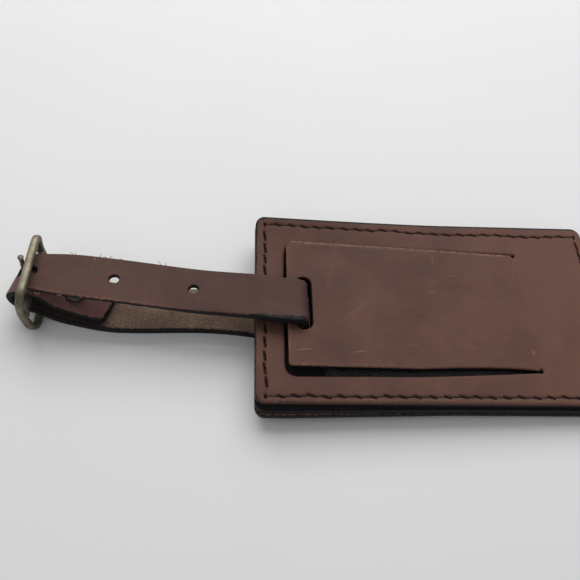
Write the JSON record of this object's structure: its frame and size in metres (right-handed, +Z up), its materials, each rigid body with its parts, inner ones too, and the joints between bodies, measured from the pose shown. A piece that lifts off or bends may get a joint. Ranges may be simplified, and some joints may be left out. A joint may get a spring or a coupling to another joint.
{
  "type": "leather luggage tag",
  "caption": "Stitched leather luggage tag with a cut flap over a windowed address card, and a buckled leather strap threaded through a slot.",
  "frame": {"origin": "middle of the tag's footprint, on the surface that it lies on", "axes": "+X from the buckle along the strap towards the body, +Y across the body, +Z up through the front panel"},
  "size_m": [0.1956, 0.07, 0.0206],
  "materials": {
    "body_leather": "oiled reddish-brown full-grain leather with dark painted edges and light scratches",
    "filler_leather": "dark brown split leather",
    "strap_leather": "smooth dark brown leather, fuzzy flesh side, dark cut edges",
    "thread": "waxed dark brown thread",
    "card": "blank off-white card",
    "window_film": "clear flexible film",
    "antique_brass": "antiqued brass, worn bright on the high spots",
    "rivet_metal": "dark antiqued brass"
  },
  "bodies": {
    "tag_body": {"back_panel": "body_leather", "filler_frame": "filler_leather", "clear_window": "window_film", "front_panel": "body_leather", "front_thread": "thread", "back_thread": "thread", "strap_lower": "strap_leather", "rivet_base": "rivet_metal", "rivet_cap": "rivet_metal"},
    "flap": {"flap": "body_leather"},
    "strap_end": {"strap_upper": "strap_leather"},
    "card": {"id_card": "card"},
    "buckle": {"buckle_frame": "antique_brass"},
    "prong": {"buckle_prong": "antique_brass"}
  },
  "joints": [
    {"name": "flap_hinge", "type": "hinge", "parent": "tag_body", "child": "flap", "pos_m": [0.07125, 0, 0.00803], "axis": [0, 1, 0], "range_deg": [0, 5]},
    {"name": "strap_lift", "type": "hinge", "parent": "tag_body", "child": "strap_end", "pos_m": [-0.08954, 0.009, 0.0153], "axis": [0, -1, 0], "range_deg": [0, 4.8]},
    {"name": "card_slide", "type": "slide", "parent": "tag_body", "child": "card", "axis": [0.9995, 0, -0.0314], "range_m": [-0.0012, 0.0012]},
    {"name": "buckle_swing", "type": "hinge", "parent": "tag_body", "child": "buckle", "pos_m": [-0.08954, 0.009, 0.0096], "axis": [-0.0436, -0.999, 0], "range_deg": [0, 4]},
    {"name": "prong_swing", "type": "hinge", "parent": "buckle", "child": "prong", "pos_m": [-0.08954, 0.009, 0.0096], "axis": [-0.0436, -0.999, 0], "range_deg": [0, 28]}
  ],
  "couplings": [
    {"joint": "strap_lift", "follows": "flap_hinge", "ratio": 0.95}
  ]
}
